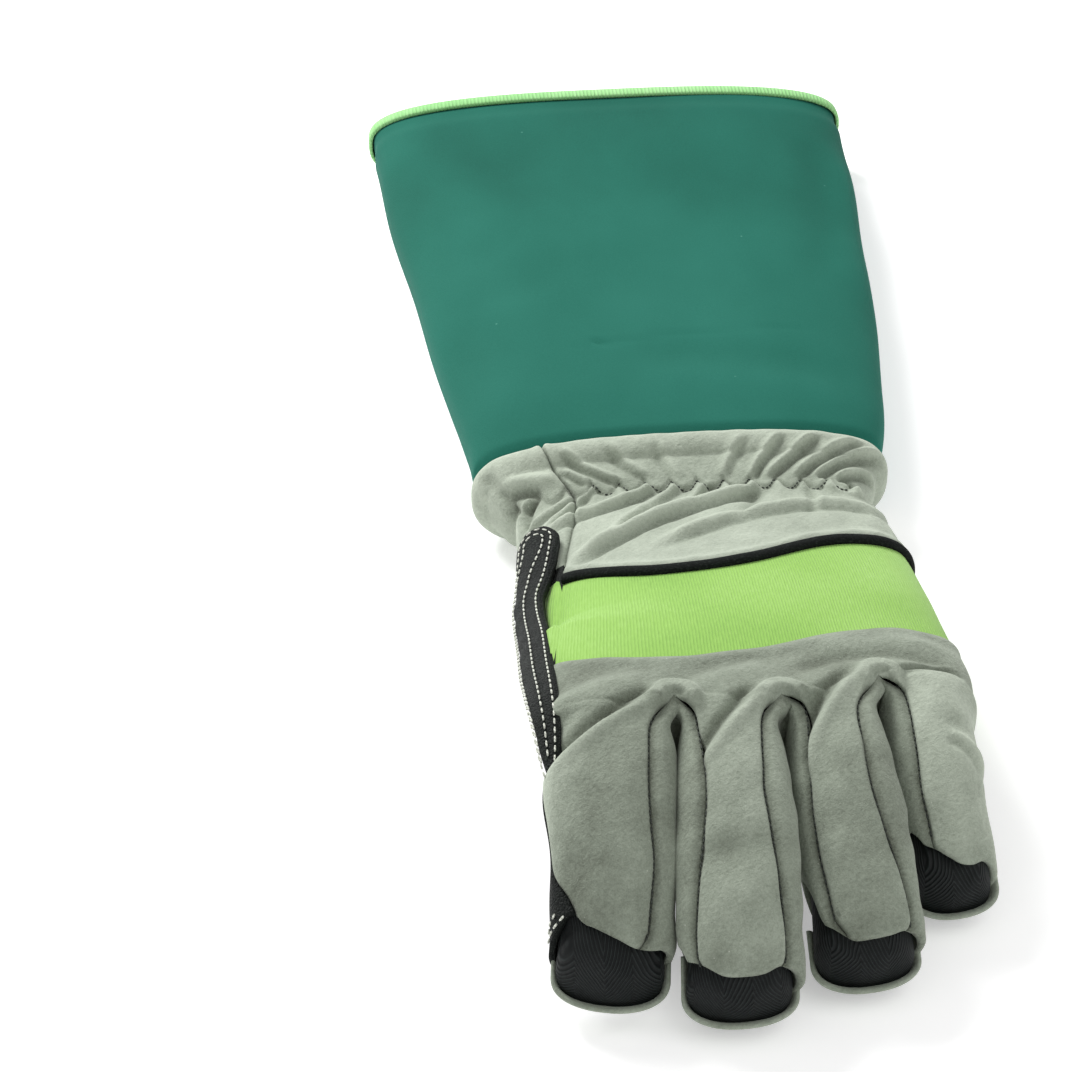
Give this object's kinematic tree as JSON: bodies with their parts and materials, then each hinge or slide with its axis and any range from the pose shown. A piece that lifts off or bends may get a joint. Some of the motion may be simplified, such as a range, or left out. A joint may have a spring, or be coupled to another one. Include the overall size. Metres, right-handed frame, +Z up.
{
  "type": "gauntlet glove",
  "caption": "Left-hand gardening gauntlet with a long flared foam cuff, gathered wrist, knit knuckle band, napped back, leather palm and ribbed fingertips.",
  "frame": {"origin": "centre of the overall box in x and y, on the surface that the glove lies on", "axes": "+X towards the little finger, +Y from the fingertips to the mouth of the cuff, +Z up from the surface through the back of the hand"},
  "size_m": [0.1438, 0.3818, 0.0455],
  "materials": {
    "neoprene": "matt dark teal-green fabric-faced foam",
    "binding": "light green folded edge tape",
    "suede": "grey-green napped suede, matt",
    "piping": "black woven cord piping",
    "knit": "lime green fine-ribbed stretch knit",
    "leather": "black grained leather, satin",
    "ribbed": "black ribbed grip fabric, satin"
  },
  "bodies": {
    "root": {"cuff": "neoprene", "cuff_binding": "binding", "wrist_back": "suede", "wrist_front": "suede", "band_piping": "piping", "knuckle_band": "knit", "thumb_strip": "leather", "hand_back": "suede", "palm": "leather", "fourchette_index_middle": "suede", "fourchette_middle_ring": "suede", "fourchette_ring_little": "suede", "index_cap": "ribbed", "middle_cap": "ribbed", "ring_cap": "ribbed", "little_cap": "ribbed", "thumb": "leather", "thumb_cap": "ribbed"}
  },
  "joints": []
}
